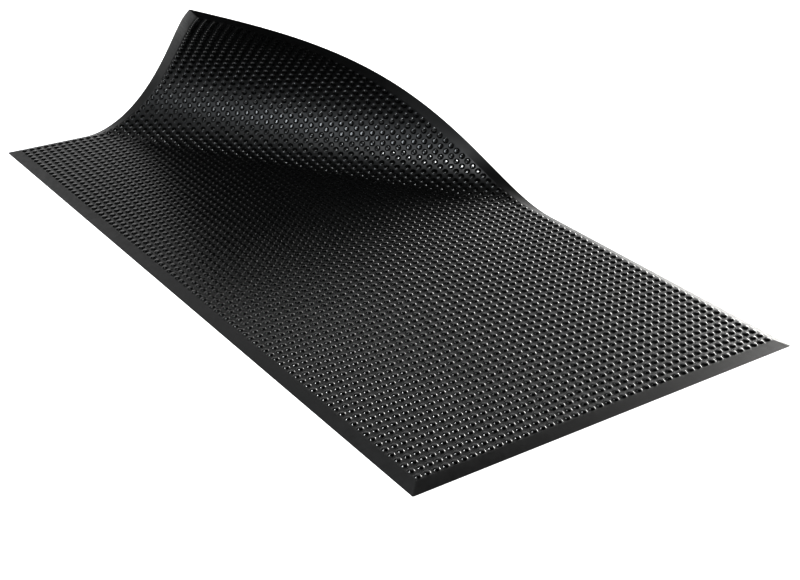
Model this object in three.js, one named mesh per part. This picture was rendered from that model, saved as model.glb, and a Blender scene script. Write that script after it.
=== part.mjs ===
// Anti-static floor mat: one moulded sheet of black rubber with a bubbled top and bevelled borders.
// It lies on the floor, and its far right corner is curled up and over the flat part.
// Units are millimetres. +Z is up, +Y runs along the mat's length, and the floor is at Z = 0.
// The origin is on the floor, under the middle of the flat mat's outline.

import * as THREE from "three";
import { mergeVertices } from "three/addons/utils/BufferGeometryUtils.js";

// Sheet, measured on the mat laid flat
const WIDTH = 948;
const LENGTH = 1848;
const TIP_HEIGHT = 0.9; // thickness of the feathered outer edge
const BEVEL_WIDTH = 24; // sloped border, in plan
const SHEET_HEIGHT = 10.1; // top of the sheet between the bubbles, with the low pads under it

// Bubbled field, as the solid that the bubbles' crowns span
const LEDGE_WIDTH = 1.6; // flat strip between the bevel and the outermost bubbles
const FLANK_WIDTH = 3.0; // run of a bubble's side, from its foot to its crown
const BUBBLE_HEIGHT = 2.9; // rise of the crowns above the sheet

// Curled corner: it bends about parallel lines, tightest at the lift-off line and straight at the tip
const CURL_ALONG_WIDTH = 731.5; // lifted length of the far short edge
const CURL_ALONG_LENGTH = 1090.5; // lifted length of the right long edge
const CURL_TURN = THREE.MathUtils.degToRad(151.7); // turn of the corner's tip from flat
const FOLD_COUNT = 45; // flat facets that the bend is made of

const RUBBER_COLOUR = 0x1c1d1f;
const RUBBER_ROUGHNESS = 0.62;
const WELD_DISTANCE = 0.001; // points closer than this are one vertex
const LEAST_AREA = 1e-6; // slivers below this area, in square millimetres, are dropped

// Curl in plan: distance past the lift-off line, measured square to it and towards the corner
const CURL_EDGE = Math.hypot(CURL_ALONG_WIDTH, CURL_ALONG_LENGTH);
const TOWARDS_CORNER = new THREE.Vector3(CURL_ALONG_LENGTH / CURL_EDGE, CURL_ALONG_WIDTH / CURL_EDGE, 0);
const CURL_REACH = (CURL_ALONG_WIDTH * CURL_ALONG_LENGTH) / CURL_EDGE;
const LIFT_OFFSET = TOWARDS_CORNER.x * (WIDTH / 2) + TOWARDS_CORNER.y * (LENGTH / 2) - CURL_REACH;
const NEUTRAL_HEIGHT = SHEET_HEIGHT / 2; // the sheet's middle plane keeps its length in the bend

function pastLift(point) {
  return point.dot(TOWARDS_CORNER) - LIFT_OFFSET;
}

// Turn of the sheet at a distance past the lift-off line: the curvature falls evenly to zero at the tip.
function turnAt(distance) {
  const share = distance / CURL_REACH;
  return CURL_TURN * (2 * share - share * share);
}

// Fold lines at equal turns, each with its place in the bend and the direction that the sheet faces there.
function makeFolds() {
  const folds = [];
  let forward = 0;
  let height = NEUTRAL_HEIGHT;
  let last = 0;
  for (let i = 0; i <= FOLD_COUNT; i += 1) {
    const distance = CURL_REACH * (1 - Math.sqrt(1 - i / FOLD_COUNT));
    const slope = turnAt((last + distance) / 2);
    forward += (distance - last) * Math.cos(slope);
    height += (distance - last) * Math.sin(slope);
    last = distance;
    folds.push({ distance, forward, height, turn: turnAt(distance) });
  }
  return folds;
}

const FOLDS = makeFolds();

// Place on a fold line, forward of the lift-off line and above the floor, of a point at a flat height.
function placeOnFold(fold, flatHeight) {
  const offset = flatHeight - NEUTRAL_HEIGHT;
  return new THREE.Vector2(
    fold.forward - offset * Math.sin(fold.turn),
    fold.height + offset * Math.cos(fold.turn),
  );
}

// Moves a point of the flat mat to its place in the curl.
function curl(point) {
  const distance = pastLift(point);
  if (distance <= 0) {
    return point.clone();
  }
  const found = FOLDS.findIndex((fold) => fold.distance >= distance);
  const after = found < 1 ? FOLD_COUNT : found;
  const start = FOLDS[after - 1];
  const end = FOLDS[after];
  const share = (distance - start.distance) / (end.distance - start.distance);
  const place = placeOnFold(start, point.z).lerp(placeOnFold(end, point.z), share);
  const moved = point.clone().addScaledVector(TOWARDS_CORNER, place.x - distance);
  moved.z = place.y;
  return moved;
}

// Corners of the rectangle that lies a given distance inside the mat's outline, from front left.
function ring(inset, height) {
  const x = WIDTH / 2 - inset;
  const y = LENGTH / 2 - inset;
  return [
    new THREE.Vector3(-x, -y, height),
    new THREE.Vector3(x, -y, height),
    new THREE.Vector3(x, y, height),
    new THREE.Vector3(-x, y, height),
  ];
}

// Flat faces of the mat before it is curled, each a convex polygon facing outwards.
function flatFaces() {
  const ledgeInset = BEVEL_WIDTH + LEDGE_WIDTH;
  const rings = [
    ring(0, 0),
    ring(0, TIP_HEIGHT),
    ring(BEVEL_WIDTH, SHEET_HEIGHT),
    ring(ledgeInset, SHEET_HEIGHT),
    ring(ledgeInset + FLANK_WIDTH, SHEET_HEIGHT + BUBBLE_HEIGHT),
  ];
  const faces = [rings[0].slice().reverse(), rings[rings.length - 1]];
  for (let i = 1; i < rings.length; i += 1) {
    const outer = rings[i - 1];
    const inner = rings[i];
    for (let side = 0; side < outer.length; side += 1) {
      const next = (side + 1) % outer.length;
      faces.push([outer[side], outer[next], inner[next], inner[side]]);
    }
  }
  return faces;
}

// Keeps the part of a convex polygon on one side of a line parallel to the lift-off line.
function keepSide(polygon, distance, side) {
  const kept = [];
  polygon.forEach((point, i) => {
    const next = polygon[(i + 1) % polygon.length];
    const here = side * (pastLift(point) - distance);
    const there = side * (pastLift(next) - distance);
    if (here >= 0) {
      kept.push(point);
    }
    if (here * there < 0) {
      kept.push(point.clone().lerp(next, here / (here - there)));
    }
  });
  return kept;
}

// Cuts a polygon into the strips between neighbouring fold lines.
function cutAtFolds(polygon) {
  const strips = [];
  let rest = polygon;
  for (const fold of FOLDS.slice(0, FOLD_COUNT)) {
    strips.push(keepSide(rest, fold.distance, -1));
    rest = keepSide(rest, fold.distance, 1);
  }
  strips.push(rest);
  return strips;
}

// Splits a convex polygon into triangles that share its first corner.
function triangles(polygon) {
  const found = [];
  for (let i = 2; i < polygon.length; i += 1) {
    const triangle = new THREE.Triangle(polygon[0], polygon[i - 1], polygon[i]);
    if (triangle.getArea() > LEAST_AREA) {
      found.push(triangle);
    }
  }
  return found;
}

function makeMat() {
  const corners = [];
  for (const face of flatFaces()) {
    for (const strip of cutAtFolds(face)) {
      for (const triangle of triangles(strip)) {
        corners.push(curl(triangle.a), curl(triangle.b), curl(triangle.c));
      }
    }
  }
  const soup = new THREE.BufferGeometry().setFromPoints(corners);
  const geometry = mergeVertices(soup, WELD_DISTANCE);
  geometry.computeVertexNormals();
  const material = new THREE.MeshStandardMaterial({
    name: "rubber",
    color: RUBBER_COLOUR,
    roughness: RUBBER_ROUGHNESS,
    metalness: 0,
  });
  const mesh = new THREE.Mesh(geometry, material);
  mesh.name = "mat";
  return mesh;
}

const floorMat = new THREE.Group();
floorMat.add(makeMat());

export default floorMat;
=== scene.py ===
"""Looks of an anti-static floor mat: black moulded rubber with a bubbled top, one corner curled up.

The mat is modelled flat, in metres, with its underside on Z = 0, and every piece is then bent by
the same curl, so that the bubbles and pads follow the sheet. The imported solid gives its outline.
"""

from __future__ import annotations

import logging
import math
from dataclasses import dataclass, field
from enum import Enum

import bpy
import numpy as np
from mathutils import Matrix, Vector

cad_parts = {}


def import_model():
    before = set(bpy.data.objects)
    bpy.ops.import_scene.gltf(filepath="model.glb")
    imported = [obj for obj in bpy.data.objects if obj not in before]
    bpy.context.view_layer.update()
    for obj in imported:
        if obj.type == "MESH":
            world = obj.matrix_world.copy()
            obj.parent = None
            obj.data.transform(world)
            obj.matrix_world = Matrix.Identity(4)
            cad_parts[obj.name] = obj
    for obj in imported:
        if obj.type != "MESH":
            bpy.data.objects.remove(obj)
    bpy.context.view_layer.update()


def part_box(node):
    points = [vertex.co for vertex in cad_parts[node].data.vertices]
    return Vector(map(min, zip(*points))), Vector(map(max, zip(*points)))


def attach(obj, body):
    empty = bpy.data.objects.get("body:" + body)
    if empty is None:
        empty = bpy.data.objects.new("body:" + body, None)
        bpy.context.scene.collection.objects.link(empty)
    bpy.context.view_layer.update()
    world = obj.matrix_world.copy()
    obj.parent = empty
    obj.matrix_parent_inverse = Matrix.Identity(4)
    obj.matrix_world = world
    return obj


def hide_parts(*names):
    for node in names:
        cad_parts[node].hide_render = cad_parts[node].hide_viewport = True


LOG = logging.getLogger("floor_mat")
FLAT_PLACE = "flat_place"
NODE = "mat"
BODY = "root"


class Side(Enum):
    """The face of the sheet that a moulded dot stands on."""

    TOP = 1
    UNDER = -1


@dataclass(frozen=True)
class MatSizes:
    """Sizes of the mat laid flat, in metres."""

    width: float
    length: float
    pad_height: float = 0.0004
    tip_height: float = 0.0009
    sheet_height: float = 0.0101
    bevel_width: float = 0.024
    pitch: float = 0.020
    bubble_columns: int = 45
    bubble_rows: int = 90

    @classmethod
    def from_solid(cls, node: str) -> MatSizes:
        """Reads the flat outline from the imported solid, whose origin is under its middle.

        Args:
            node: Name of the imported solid.

        Returns:
            The sizes, with the outline of that solid.
        """
        low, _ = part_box(node)
        return cls(width=-2 * low.x, length=-2 * low.y)


@dataclass(frozen=True)
class Curl:
    """The far right corner's bend about parallel lines, tightest where it lifts off the floor."""

    sizes: MatSizes
    along_width: float = 0.7315
    along_length: float = 1.0905
    turn: float = math.radians(151.7)
    table_steps: int = 4000

    @property
    def towards_corner(self) -> np.ndarray:
        """Unit direction in plan, square to the fold lines and towards the corner."""
        edge = math.hypot(self.along_width, self.along_length)
        return np.array([self.along_length / edge, self.along_width / edge])

    @property
    def reach(self) -> float:
        """Distance from the lift-off line to the corner's tip, along the flat sheet."""
        edge = math.hypot(self.along_width, self.along_length)
        return self.along_width * self.along_length / edge

    @property
    def lift_offset(self) -> float:
        """Distance from the origin to the lift-off line."""
        corner = np.array([self.sizes.width / 2, self.sizes.length / 2])
        return float(self.towards_corner @ corner) - self.reach

    def turn_at(self, distance: np.ndarray) -> np.ndarray:
        """Turn of the sheet at each distance past the lift-off line, in radians.

        Args:
            distance: Distances past the lift-off line.

        Returns:
            The turn from flat at each of them.
        """
        share = distance / self.reach
        return self.turn * (2 * share - share**2)

    def bend(self, points: np.ndarray) -> np.ndarray:
        """Moves points of the flat mat to their places in the curl.

        Args:
            points: Rows of x, y and z on the flat mat.

        Returns:
            The same rows after the corner is curled.
        """
        neutral = self.sizes.sheet_height / 2
        steps = np.linspace(0.0, self.reach, self.table_steps)
        middle = self.turn_at((steps[1:] + steps[:-1]) / 2)
        width = steps[1] - steps[0]
        forward = np.concatenate([[0.0], np.cumsum(np.cos(middle)) * width])
        height = np.concatenate([[0.0], np.cumsum(np.sin(middle)) * width])
        distance = points[:, :2] @ self.towards_corner - self.lift_offset
        lifted = np.clip(distance, 0.0, self.reach)
        turn = self.turn_at(lifted)
        offset = points[:, 2] - neutral
        along = np.interp(lifted, steps, forward) - offset * np.sin(turn) - lifted
        moved = points.copy()
        moved[:, :2] += along[:, None] * self.towards_corner
        moved[:, 2] = neutral + np.interp(lifted, steps, height) + offset * np.cos(turn)
        flat = distance <= 0
        moved[flat] = points[flat]
        return moved


@dataclass(frozen=True)
class RubberFinish:
    """Black moulded rubber: satin, with a fine leathery grain and a trace of dust in patches."""

    name: str = "black_rubber"
    colour: tuple[float, float, float, float] = (0.0030, 0.0031, 0.0032, 1.0)
    dust: tuple[float, float, float, float] = (0.0100, 0.0098, 0.0092, 1.0)
    ior: float = 1.52
    dust_size: float = 0.11
    dust_detail: float = 5.0
    dust_range: tuple[float, float] = (0.42, 0.75)
    dust_share: float = 0.35
    gloss_size: float = 0.012
    gloss_detail: float = 8.0
    gloss_range: tuple[float, float] = (0.3, 0.7)
    roughness: tuple[float, float] = (0.41, 0.51)
    grain_size: float = 0.0022
    grain_detail: float = 3.0
    grain_height: float = 0.00022
    bubble_rise: tuple[float, float] = (0.0102, 0.0112)
    bubble_polish: float = 0.28
    bubble_grain: float = 0.10

    def make(self) -> bpy.types.Material:
        """Builds the node material.

        Returns:
            The material, whose patterns follow the flat sheet.
        """
        material = bpy.data.materials.new(self.name)
        material.use_nodes = True
        tree = material.node_tree
        shader = tree.nodes["Principled BSDF"]
        shader.inputs["IOR"].default_value = self.ior
        place = tree.nodes.new("ShaderNodeAttribute")
        place.attribute_name = FLAT_PLACE
        self._colour(tree, place, shader)
        self._roughness(tree, place, shader)
        self._grain(tree, place, shader)
        return material

    def _noise(
        self, tree: bpy.types.NodeTree, place: bpy.types.Node, size: float, detail: float
    ) -> bpy.types.Node:
        """Adds a noise whose lumps are about a given size.

        Args:
            tree: The material's node tree.
            place: The node that gives the flat place.
            size: Size of a lump, in metres.
            detail: Levels of finer detail.

        Returns:
            The noise node.
        """
        noise = tree.nodes.new("ShaderNodeTexNoise")
        noise.inputs["Scale"].default_value = 1 / size
        noise.inputs["Detail"].default_value = detail
        tree.links.new(place.outputs["Vector"], noise.inputs["Vector"])
        return noise

    @staticmethod
    def _spread(
        tree: bpy.types.NodeTree, source: tuple[float, float], target: tuple[float, float]
    ) -> bpy.types.Node:
        """Adds a node that turns one range of values into another.

        Args:
            tree: The material's node tree.
            source: The values that come in, first and last.
            target: What they become.

        Returns:
            The map range node.
        """
        spread = tree.nodes.new("ShaderNodeMapRange")
        spread.inputs["From Min"].default_value = source[0]
        spread.inputs["From Max"].default_value = source[1]
        spread.inputs["To Min"].default_value = target[0]
        spread.inputs["To Max"].default_value = target[1]
        return spread

    def _colour(
        self, tree: bpy.types.NodeTree, place: bpy.types.Node, shader: bpy.types.Node
    ) -> None:
        """Mixes a little pale dust into the black, in broad uneven patches.

        Args:
            tree: The material's node tree.
            place: The node that gives the flat place.
            shader: The shader that takes the colour.
        """
        broad = self._noise(tree, place, self.dust_size, self.dust_detail)
        spread = self._spread(tree, self.dust_range, (0.0, self.dust_share))
        mix = tree.nodes.new("ShaderNodeMix")
        mix.data_type = "RGBA"
        mix.inputs["A"].default_value = self.colour
        mix.inputs["B"].default_value = self.dust
        tree.links.new(broad.outputs["Fac"], spread.inputs["Value"])
        tree.links.new(spread.outputs["Result"], mix.inputs["Factor"])
        tree.links.new(mix.outputs["Result"], shader.inputs["Base Color"])

    def _roughness(
        self, tree: bpy.types.NodeTree, place: bpy.types.Node, shader: bpy.types.Node
    ) -> None:
        """Varies the gloss over the sheet, and polishes the bubbles' crowns a little.

        Args:
            tree: The material's node tree.
            place: The node that gives the flat place.
            shader: The shader that takes the roughness.
        """
        patches = self._noise(tree, place, self.gloss_size, self.gloss_detail)
        spread = self._spread(tree, self.gloss_range, self.roughness)
        parts = tree.nodes.new("ShaderNodeSeparateXYZ")
        crown = self._spread(tree, self.bubble_rise, (0.0, self.bubble_polish))
        less = tree.nodes.new("ShaderNodeMath")
        less.operation = "SUBTRACT"
        tree.links.new(patches.outputs["Fac"], spread.inputs["Value"])
        tree.links.new(place.outputs["Vector"], parts.inputs["Vector"])
        tree.links.new(parts.outputs["Z"], crown.inputs["Value"])
        tree.links.new(spread.outputs["Result"], less.inputs[0])
        tree.links.new(crown.outputs["Result"], less.inputs[1])
        tree.links.new(less.outputs["Value"], shader.inputs["Roughness"])

    def _grain(
        self, tree: bpy.types.NodeTree, place: bpy.types.Node, shader: bpy.types.Node
    ) -> None:
        """Adds the fine moulded grain as relief in the shading, fainter on the bubbles.

        Args:
            tree: The material's node tree.
            place: The node that gives the flat place.
            shader: The shader that takes the relief.
        """
        grain = self._noise(tree, place, self.grain_size, self.grain_detail)
        parts = tree.nodes.new("ShaderNodeSeparateXYZ")
        fade = self._spread(tree, self.bubble_rise, (1.0, self.bubble_grain))
        height = tree.nodes.new("ShaderNodeMath")
        height.operation = "MULTIPLY"
        bump = tree.nodes.new("ShaderNodeBump")
        bump.inputs["Strength"].default_value = 1.0
        bump.inputs["Distance"].default_value = self.grain_height
        tree.links.new(place.outputs["Vector"], parts.inputs["Vector"])
        tree.links.new(parts.outputs["Z"], fade.inputs["Value"])
        tree.links.new(grain.outputs["Fac"], height.inputs[0])
        tree.links.new(fade.outputs["Result"], height.inputs[1])
        tree.links.new(height.outputs["Value"], bump.inputs["Height"])
        tree.links.new(bump.outputs["Normal"], shader.inputs["Normal"])


class Workbench:
    """The steps that every piece goes through once its flat shape is modelled."""

    def __init__(self, curl: Curl, rubber: bpy.types.Material) -> None:
        """Keeps what all pieces share.

        Args:
            curl: The bend of the far right corner.
            rubber: The material of every piece.
        """
        self.curl = curl
        self.rubber = rubber

    @staticmethod
    def clear_selection() -> None:
        """Leaves nothing selected in object mode."""
        if bpy.context.object and bpy.context.object.mode != "OBJECT":
            bpy.ops.object.mode_set(mode="OBJECT")
        bpy.ops.object.select_all(action="DESELECT")

    @staticmethod
    def points_of(piece: bpy.types.Object) -> np.ndarray:
        """Vertex places of a piece.

        Args:
            piece: The mesh object.

        Returns:
            One row of x, y and z for each vertex.
        """
        places = np.empty(len(piece.data.vertices) * 3, dtype=np.float32)
        piece.data.vertices.foreach_get("co", places)
        return places.reshape(-1, 3).astype(np.float64)

    def finish(self, piece: bpy.types.Object, smooth_angle: float) -> bpy.types.Object:
        """Remembers each point's flat place, curls the piece, and gives it rubber and a body.

        Args:
            piece: The piece, modelled flat.
            smooth_angle: Edges sharper than this angle stay crisp, in radians.

        Returns:
            The finished piece.
        """
        flat = self.points_of(piece)
        mesh = piece.data
        attribute = mesh.attributes.new(FLAT_PLACE, "FLOAT_VECTOR", "POINT")
        attribute.data.foreach_set("vector", flat.astype(np.float32).ravel())
        bent = self.curl.bend(flat)
        mesh.vertices.foreach_set("co", bent.astype(np.float32).ravel())
        mesh.update()
        mesh.materials.clear()
        mesh.materials.append(self.rubber)
        self.clear_selection()
        piece.select_set(True)
        bpy.context.view_layer.objects.active = piece
        bpy.ops.object.shade_smooth_by_angle(angle=smooth_angle)
        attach(piece, BODY)
        return piece


@dataclass
class Sheet:
    """The flat rubber sheet with its bevelled borders and mitred corners."""

    sizes: MatSizes
    bench: Workbench
    corner_radius: float = 0.0025
    corner_segments: int = 4
    brow_softness: float = 0.0014
    brow_segments: int = 3
    fold_spacing: float = 0.005
    lead_in: float = 0.010
    smooth_angle: float = math.radians(28)

    def build(self) -> bpy.types.Object:
        """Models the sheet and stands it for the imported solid.

        Returns:
            The finished sheet.
        """
        sheet = self._model_flat()
        self._soften_brow()
        self._cut_folds()
        bpy.ops.object.mode_set(mode="OBJECT")
        self.bench.finish(sheet, self.smooth_angle)
        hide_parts(NODE)
        return sheet

    def _model_flat(self) -> bpy.types.Object:
        """Raises the sheet from its underside: thin tip first, then the sloped border.

        Returns:
            The sheet object, left in edit mode with its top face selected.
        """
        sizes = self.sizes
        self.bench.clear_selection()
        bpy.ops.mesh.primitive_plane_add(size=1.0)
        sheet = bpy.context.object
        sheet.name = sheet.data.name = "sheet"
        bpy.ops.object.mode_set(mode="EDIT")
        bpy.ops.transform.resize(value=(sizes.width, sizes.length, 1.0))
        bpy.ops.transform.translate(value=(0.0, 0.0, sizes.pad_height))
        bpy.ops.mesh.bevel(
            offset=self.corner_radius, segments=self.corner_segments, affect="VERTICES"
        )
        bpy.ops.mesh.select_all(action="SELECT")
        self._raise(sizes.tip_height - sizes.pad_height)
        self._raise(sizes.sheet_height - sizes.tip_height)
        inner = (sizes.width - 2 * sizes.bevel_width, sizes.length - 2 * sizes.bevel_width)
        bpy.ops.transform.resize(value=(inner[0] / sizes.width, inner[1] / sizes.length, 1.0))
        return sheet

    @staticmethod
    def _raise(height: float) -> None:
        """Extrudes the selected face straight up.

        Args:
            height: How far the face rises, in metres.
        """
        move = {"value": (0.0, 0.0, height)}
        bpy.ops.mesh.extrude_region_move(TRANSFORM_OT_translate=move)

    def _soften_brow(self) -> None:
        """Rounds the brow where the sloped border meets the flat top."""
        bpy.ops.mesh.region_to_loop()
        bpy.ops.mesh.bevel(offset=self.brow_softness, segments=self.brow_segments)
        bpy.ops.mesh.select_all(action="SELECT")
        bpy.ops.mesh.normals_make_consistent(inside=False)

    def _cut_folds(self) -> None:
        """Cuts the sheet along the fold lines, so that it can bend there."""
        curl = self.bench.curl
        toward = Vector((*curl.towards_corner, 0.0))
        distance = -self.lead_in
        while distance < curl.reach:
            bpy.ops.mesh.select_all(action="SELECT")
            place = toward * (curl.lift_offset + distance)
            bpy.ops.mesh.bisect(plane_co=place, plane_no=toward)
            distance += self.fold_spacing


@dataclass
class Dots:
    """A square field of round moulded dots, all alike, on one face of the sheet."""

    name: str
    sizes: MatSizes
    bench: Workbench
    side: Side
    columns: int
    rows: int
    rings: tuple[tuple[float, float], ...]
    base_height: float
    crown_height: float
    facets: int
    pieces: int
    smooth_angle: float = math.radians(38)
    tolerance: float = 1e-6
    made: list[bpy.types.Object] = field(default_factory=list)

    def build(self) -> list[bpy.types.Object]:
        """Models one dot, repeats it over the field and curls the field with the sheet.

        Returns:
            The finished pieces of the field.
        """
        dot = self._model_dot()
        rows_each = math.ceil(self.rows / self.pieces)
        for index in range(self.pieces):
            first = index * rows_each
            count = min(rows_each, self.rows - first)
            piece = self._repeat(dot, first, count)
            piece.name = piece.data.name = f"{self.name}_{index + 1}"
            self.made.append(self.bench.finish(piece, self.smooth_angle))
        bpy.data.objects.remove(dot)
        return self.made

    def _model_dot(self) -> bpy.types.Object:
        """Models one dot at the origin, ring by ring from its base to its crown.

        Returns:
            The dot, in object mode.
        """
        self.bench.clear_selection()
        radius, height = self.rings[0]
        bpy.ops.mesh.primitive_circle_add(
            vertices=self.facets, radius=radius, fill_type="NGON", location=(0.0, 0.0, 0.0)
        )
        dot = bpy.context.object
        bpy.ops.object.mode_set(mode="EDIT")
        up = self.side.value
        bpy.ops.transform.translate(value=(0.0, 0.0, self.base_height + up * height))
        for next_radius, next_height in self.rings[1:]:
            move = {"value": (0.0, 0.0, up * (next_height - height))}
            bpy.ops.mesh.extrude_region_move(TRANSFORM_OT_translate=move)
            share = next_radius / radius
            bpy.ops.transform.resize(value=(share, share, 1.0))
            radius, height = next_radius, next_height
        bpy.ops.mesh.poke(offset=0.0)
        self._raise_crown(dot, up * (self.crown_height - height))
        bpy.ops.mesh.select_all(action="SELECT")
        bpy.ops.mesh.normals_make_consistent(inside=False)
        bpy.ops.object.mode_set(mode="OBJECT")
        return dot

    def _raise_crown(self, dot: bpy.types.Object, lift: float) -> None:
        """Lifts the crown's middle point, which gives the dot its slight dome.

        Args:
            dot: The dot, in edit mode with its poked crown.
            lift: Height of the middle above the last ring, signed.
        """
        bpy.ops.object.mode_set(mode="OBJECT")
        up = self.side.value
        level = self.base_height + up * self.rings[-1][1]
        for point in dot.data.vertices:
            centred = point.co.xy.length < self.tolerance
            point.select = centred and abs(point.co.z - level) < self.tolerance
        for edge in dot.data.edges:
            edge.select = False
        for face in dot.data.polygons:
            face.select = False
        bpy.ops.object.mode_set(mode="EDIT")
        bpy.ops.mesh.select_mode(type="VERT")
        bpy.ops.transform.translate(value=(0.0, 0.0, lift))

    def _repeat(self, dot: bpy.types.Object, first: int, count: int) -> bpy.types.Object:
        """Copies the dot over some rows of the field.

        Args:
            dot: The modelled dot.
            first: Number of the first row, from the front.
            count: How many rows.

        Returns:
            A piece with its own mesh that holds the copies.
        """
        pitch = self.sizes.pitch
        start_x = -(self.columns - 1) * pitch / 2
        start_y = -(self.rows - 1) * pitch / 2 + first * pitch
        piece = dot.copy()
        piece.data = dot.data.copy()
        piece.data.transform(Matrix.Translation((start_x, start_y, 0.0)))
        bpy.context.scene.collection.objects.link(piece)
        self.bench.clear_selection()
        piece.select_set(True)
        bpy.context.view_layer.objects.active = piece
        for copies, step in ((self.columns, (pitch, 0.0, 0.0)), (count, (0.0, pitch, 0.0))):
            array = piece.modifiers.new("repeat", "ARRAY")
            array.count = copies
            array.use_relative_offset = False
            array.use_constant_offset = True
            array.constant_offset_displace = step
            bpy.ops.object.modifier_apply(modifier=array.name)
        return piece


def bubble_field(sizes: MatSizes, bench: Workbench) -> Dots:
    """The bubbles that stand on the sheet.

    Args:
        sizes: The mat's sizes.
        bench: The steps that finish a piece.

    Returns:
        The field, ready to build.
    """
    return Dots(
        name="bubbles",
        sizes=sizes,
        bench=bench,
        side=Side.TOP,
        columns=sizes.bubble_columns,
        rows=sizes.bubble_rows,
        rings=(
            (0.0089, -0.0001),
            (0.0078, 0.00035),
            (0.0062, 0.00205),
            (0.0052, 0.00262),
            (0.0040, 0.0028),
        ),
        base_height=sizes.sheet_height,
        crown_height=0.0029,
        facets=14,
        pieces=3,
    )


def pad_field(sizes: MatSizes, bench: Workbench) -> Dots:
    """The low pads that the sheet rests on, with one more row than the bubbles on each side.

    Args:
        sizes: The mat's sizes.
        bench: The steps that finish a piece.

    Returns:
        The field, ready to build.
    """
    return Dots(
        name="pads",
        sizes=sizes,
        bench=bench,
        side=Side.UNDER,
        columns=sizes.bubble_columns + 2,
        rows=sizes.bubble_rows + 2,
        rings=((0.00815, -0.0010), (0.00815, 0.0004)),
        base_height=sizes.pad_height,
        crown_height=0.0004,
        facets=12,
        pieces=2,
    )


@dataclass(frozen=True)
class Camera:
    """The photograph's viewpoint, solved from the rows of bubbles."""

    place: tuple[float, float, float] = (-1.6318, -2.4963, 1.4050)
    azimuth: float = math.radians(35.52)
    elevation: float = math.radians(-27.36)
    roll: float = math.radians(1.21)
    lens_mm: float = 63.19
    view_depth: float = 60.0

    def build(self) -> bpy.types.Object:
        """Makes the camera and gives it to the scene.

        Returns:
            The camera object.
        """
        data = bpy.data.cameras.new("camera")
        data.lens = self.lens_mm
        data.clip_end = self.view_depth
        camera = bpy.data.objects.new("camera", data)
        bpy.context.scene.collection.objects.link(camera)
        level = math.cos(self.elevation)
        ahead = Vector(
            (
                math.sin(self.azimuth) * level,
                math.cos(self.azimuth) * level,
                math.sin(self.elevation),
            )
        )
        turn = ahead.to_track_quat("-Z", "Y").to_matrix().to_4x4()
        lean = Matrix.Rotation(self.roll, 4, "Z")
        camera.matrix_world = Matrix.Translation(self.place) @ turn @ lean
        bpy.context.scene.camera = camera
        return camera


@dataclass(frozen=True)
class SoftBox:
    """A large soft lamp that faces the mat."""

    name: str
    azimuth: float
    elevation: float
    distance: float
    width: float
    height: float
    power: float
    colour: tuple[float, float, float] = (1.0, 1.0, 1.0)

    def build(self, target: Vector) -> bpy.types.Object:
        """Hangs the lamp round a target.

        Args:
            target: The point that the lamp faces.

        Returns:
            The lamp object.
        """
        data = bpy.data.lights.new(self.name, "AREA")
        data.shape = "RECTANGLE"
        data.size = self.width
        data.size_y = self.height
        data.energy = self.power
        data.color = self.colour
        lamp = bpy.data.objects.new(self.name, data)
        bpy.context.scene.collection.objects.link(lamp)
        azimuth = math.radians(self.azimuth)
        elevation = math.radians(self.elevation)
        away = Vector(
            (
                math.sin(azimuth) * math.cos(elevation),
                math.cos(azimuth) * math.cos(elevation),
                math.sin(elevation),
            )
        )
        turn = (-away).to_track_quat("-Z", "Y").to_matrix().to_4x4()
        lamp.matrix_world = Matrix.Translation(target + away * self.distance) @ turn
        return lamp


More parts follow.
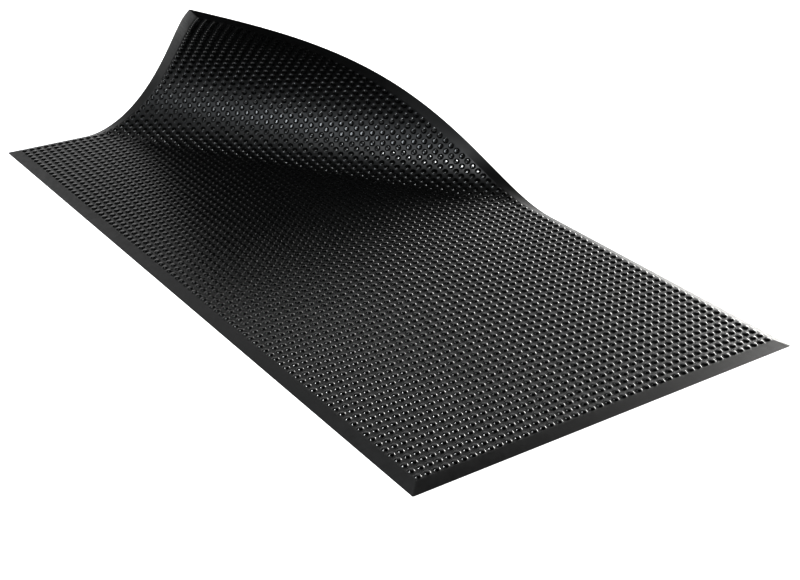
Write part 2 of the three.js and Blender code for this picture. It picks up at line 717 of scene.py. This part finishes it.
@dataclass(frozen=True)
class Studio:
    """A white floor before a pale backdrop, which is dim overhead and behind the camera."""

    floor_size: float = 40.0
    floor_tone: float = 0.86
    floor_roughness: float = 0.9
    floor_glow: float = 0.50
    floor_gap: float = 0.0003
    horizon: float = 1.15
    shoulder: float = 1.05
    overhead: float = 0.03
    horizon_height: float = 0.05
    shoulder_height: float = 0.52
    overhead_height: float = 0.80
    backdrop_azimuth: float = math.radians(30)
    backdrop_edges: tuple[float, float] = (-0.3, 0.86)
    behind_camera: float = 0.26
    lamp_target: tuple[float, float, float] = (0.0, 0.0, 0.1)

    def build(self) -> None:
        """Makes the floor, the sky and the lamps."""
        self._floor()
        self._sky()
        for lamp in self._lamps():
            lamp.build(Vector(self.lamp_target))

    @staticmethod
    def _lamps() -> tuple[SoftBox, ...]:
        """The lamps, with angles in degrees, sizes in metres and power in watts.

        Returns:
            The two lamps on the left and the broad one on the right.
        """
        left = SoftBox(
            name="left_box",
            azimuth=-92.0,
            elevation=22.5,
            distance=3.0,
            width=0.60,
            height=1.60,
            power=33.0,
            colour=(0.90, 0.95, 1.0),
        )
        upper_left = SoftBox(
            name="upper_left_box",
            azimuth=-104.0,
            elevation=60.0,
            distance=3.2,
            width=0.50,
            height=0.50,
            power=50.0,
            colour=(0.97, 0.99, 1.0),
        )
        right = SoftBox(
            name="right_box",
            azimuth=81.0,
            elevation=14.5,
            distance=4.6,
            width=2.6,
            height=1.6,
            power=160.0,
            colour=(1.0, 0.99, 0.97),
        )
        return left, upper_left, right

    def _floor(self) -> None:
        """Lays a white floor that glows a little, so that its shadows stay faint."""
        Workbench.clear_selection()
        bpy.ops.mesh.primitive_plane_add(
            size=self.floor_size, location=(0.0, 0.0, -self.floor_gap)
        )
        floor = bpy.context.object
        floor.name = "floor"
        material = bpy.data.materials.new("white_floor")
        material.use_nodes = True
        shader = material.node_tree.nodes["Principled BSDF"]
        shader.inputs["Base Color"].default_value = self._grey(self.floor_tone)
        shader.inputs["Roughness"].default_value = self.floor_roughness
        shader.inputs["Emission Color"].default_value = self._grey(1.0)
        shader.inputs["Emission Strength"].default_value = self.floor_glow
        self._open_from_below(material.node_tree, shader)
        floor.data.materials.append(material)

    @staticmethod
    def _grey(tone: float) -> tuple[float, float, float, float]:
        """An opaque grey of a given brightness."""
        return (tone, tone, tone, 1.0)

    @staticmethod
    def _open_from_below(tree: bpy.types.NodeTree, shader: bpy.types.Node) -> None:
        """Lets a view from under the floor see the mat's underside.

        Args:
            tree: The floor material's node tree.
            shader: The floor's upper face.
        """
        side = tree.nodes.new("ShaderNodeNewGeometry")
        clear = tree.nodes.new("ShaderNodeBsdfTransparent")
        mix = tree.nodes.new("ShaderNodeMixShader")
        surface = tree.nodes["Material Output"].inputs["Surface"]
        tree.links.new(side.outputs["Backfacing"], mix.inputs["Fac"])
        tree.links.new(shader.outputs["BSDF"], mix.inputs[1])
        tree.links.new(clear.outputs["BSDF"], mix.inputs[2])
        tree.links.new(mix.outputs["Shader"], surface)

    def _sky(self) -> None:
        """Fills the world with a plain gradient from the horizon up."""
        world = bpy.data.worlds.new("studio")
        world.use_nodes = True
        bpy.context.scene.world = world
        tree = world.node_tree
        background = tree.nodes["Background"]
        direction = tree.nodes.new("ShaderNodeTexCoord")
        parts = tree.nodes.new("ShaderNodeSeparateXYZ")
        ramp = tree.nodes.new("ShaderNodeValToRGB")
        stops = ramp.color_ramp.elements
        stops[0].position = self.horizon_height
        stops[0].color = self._grey(self.horizon)
        stops[1].position = self.overhead_height
        stops[1].color = self._grey(self.overhead)
        stops.new(self.shoulder_height).color = self._grey(self.shoulder)
        facing = tree.nodes.new("ShaderNodeVectorMath")
        facing.operation = "DOT_PRODUCT"
        ahead = (math.sin(self.backdrop_azimuth), math.cos(self.backdrop_azimuth), 0.0)
        facing.inputs[1].default_value = ahead
        share = tree.nodes.new("ShaderNodeMapRange")
        share.inputs["From Min"].default_value = self.backdrop_edges[0]
        share.inputs["From Max"].default_value = self.backdrop_edges[1]
        share.inputs["To Min"].default_value = self.behind_camera
        tree.links.new(direction.outputs["Generated"], parts.inputs["Vector"])
        tree.links.new(direction.outputs["Generated"], facing.inputs[0])
        tree.links.new(parts.outputs["Z"], ramp.inputs["Fac"])
        tree.links.new(facing.outputs["Value"], share.inputs["Value"])
        tree.links.new(ramp.outputs["Color"], background.inputs["Color"])
        tree.links.new(share.outputs["Result"], background.inputs["Strength"])


def report(piece: bpy.types.Object) -> None:
    """Logs a finished piece's name and how many faces it has."""
    LOG.info("%s: %d faces", piece.name, len(piece.data.polygons))


def main() -> None:
    """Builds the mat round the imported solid, then the studio and the camera."""
    logging.basicConfig(level=logging.INFO, format="%(name)s: %(message)s")
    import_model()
    sizes = MatSizes.from_solid(NODE)
    bench = Workbench(Curl(sizes), RubberFinish().make())
    report(Sheet(sizes, bench).build())
    for dots in (bubble_field(sizes, bench), pad_field(sizes, bench)):
        for piece in dots.build():
            report(piece)
    Studio().build()
    Camera().build()
    bpy.context.scene.view_settings.view_transform = "Standard"
    bpy.context.scene.view_settings.look = "High Contrast"


if __name__ == "__main__":
    main()
